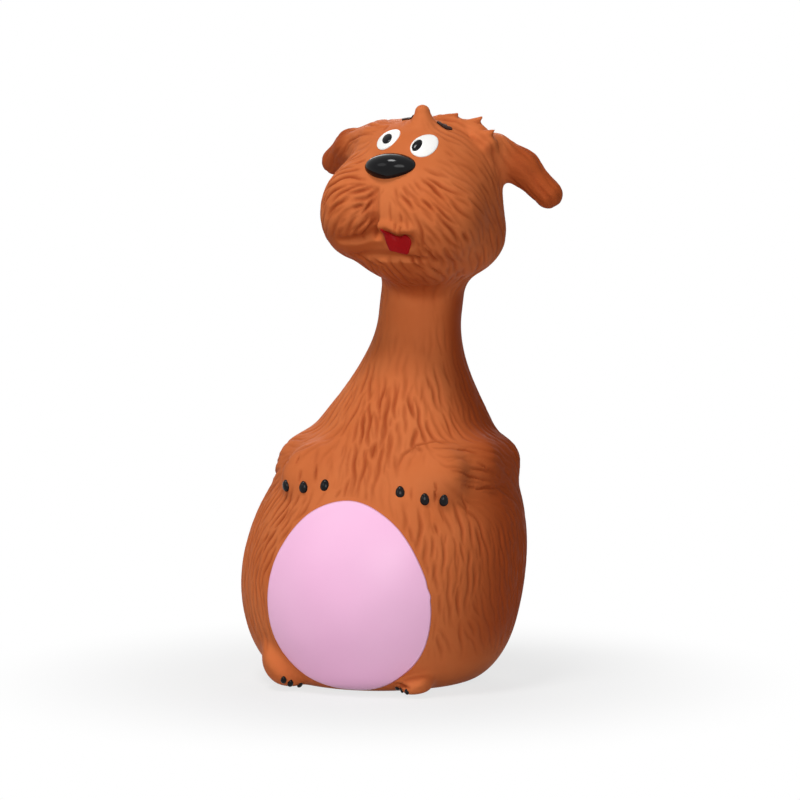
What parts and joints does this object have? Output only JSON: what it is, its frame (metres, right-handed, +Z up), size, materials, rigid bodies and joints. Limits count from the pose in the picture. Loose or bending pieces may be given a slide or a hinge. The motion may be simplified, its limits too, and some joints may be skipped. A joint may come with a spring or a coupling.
{
  "type": "squeaky dog toy",
  "caption": "Soft latex dog toy, a pear-shaped sitting dog with a long neck and shaggy head; squeezing its belly blows a reed squeaker in the base.",
  "frame": {"origin": "middle of the flat base, at the face of the squeaker plug", "axes": "+Z up through the toy, -Y the way the dog faces, +X the dog's left"},
  "size_m": [0.0714, 0.0616, 0.1287],
  "materials": {
    "latex": "matte",
    "pink_coat": "satin",
    "black_coat": "gloss",
    "white_coat": "satin",
    "brow_coat": "matte",
    "red_coat": "satin",
    "wadding": "matte",
    "plug_plastic": "satin",
    "reed_brass": "satin"
  },
  "bodies": {
    "body": {"body_skin": "latex", "left_front_paw": "latex", "right_front_paw": "latex", "left_hind_foot": "latex", "right_hind_foot": "latex", "left_front_claw_inner": "black_coat", "left_front_claw_middle": "black_coat", "left_front_claw_outer": "black_coat", "left_hind_claw_inner": "black_coat", "left_hind_claw_middle": "black_coat", "left_hind_claw_outer": "black_coat", "right_front_claw_inner": "black_coat", "right_front_claw_middle": "black_coat", "right_front_claw_outer": "black_coat", "right_hind_claw_inner": "black_coat", "right_hind_claw_middle": "black_coat", "right_hind_claw_outer": "black_coat", "body_stuffing": "wadding", "squeaker_plug": "plug_plastic", "reed_plate": "plug_plastic", "reed_clamp": "plug_plastic"},
    "belly": {"belly_wall": "latex", "belly_coat": "pink_coat"},
    "neck": {"neck_skin": "latex", "neck_stuffing": "wadding"},
    "head": {"head_skin": "latex", "nose": "black_coat", "left_eye_white": "white_coat", "right_eye_white": "white_coat", "left_pupil": "black_coat", "right_pupil": "black_coat", "left_brow": "brow_coat", "right_brow": "brow_coat", "tongue": "red_coat", "hair_tuft": "latex", "crest_lock_front": "latex", "crest_lock_middle": "latex", "crest_lock_side": "latex", "head_stuffing": "wadding"},
    "left_ear": {"left_ear": "latex"},
    "right_ear": {"right_ear": "latex"},
    "reed": {"squeaker_reed": "reed_brass"}
  },
  "joints": [
    {"name": "belly_press", "type": "slide", "parent": "body", "child": "belly", "axis": [0, 1, 0], "range_m": [0, 0.008], "stiffness_N_per_m": 600},
    {"name": "neck_nod", "type": "hinge", "parent": "body", "child": "neck", "pos_m": [0.00748, 0.0052, 0.0824], "axis": [1, 0, 0], "range_deg": [-20, 25], "stiffness_Nm_per_rad": 0.25},
    {"name": "head_sway", "type": "hinge", "parent": "neck", "child": "head", "pos_m": [0.00748, 0.0052, 0.0824], "axis": [0, 1, 0], "range_deg": [-18, 18], "stiffness_Nm_per_rad": 0.25},
    {"name": "left_ear_flap", "type": "hinge", "parent": "head", "child": "left_ear", "pos_m": [0.02832, 0.00269, 0.11845], "axis": [-0.1041, -0.9945, 0.01], "range_deg": [-10, 40], "stiffness_Nm_per_rad": 0.01},
    {"name": "right_ear_flap", "type": "hinge", "parent": "head", "child": "right_ear", "pos_m": [-0.00605, 0.00632, 0.12176], "axis": [0.1041, 0.9945, -0.01], "range_deg": [-10, 40], "stiffness_Nm_per_rad": 0.01},
    {"name": "reed_flutter", "type": "hinge", "parent": "body", "child": "reed", "pos_m": [0, 0.004, 0.01117], "axis": [-1, 0, 0], "range_deg": [0, 6]}
  ],
  "couplings": [
    {"joint": "reed_flutter", "follows": "belly_press", "rad_per_m": 13}
  ]
}
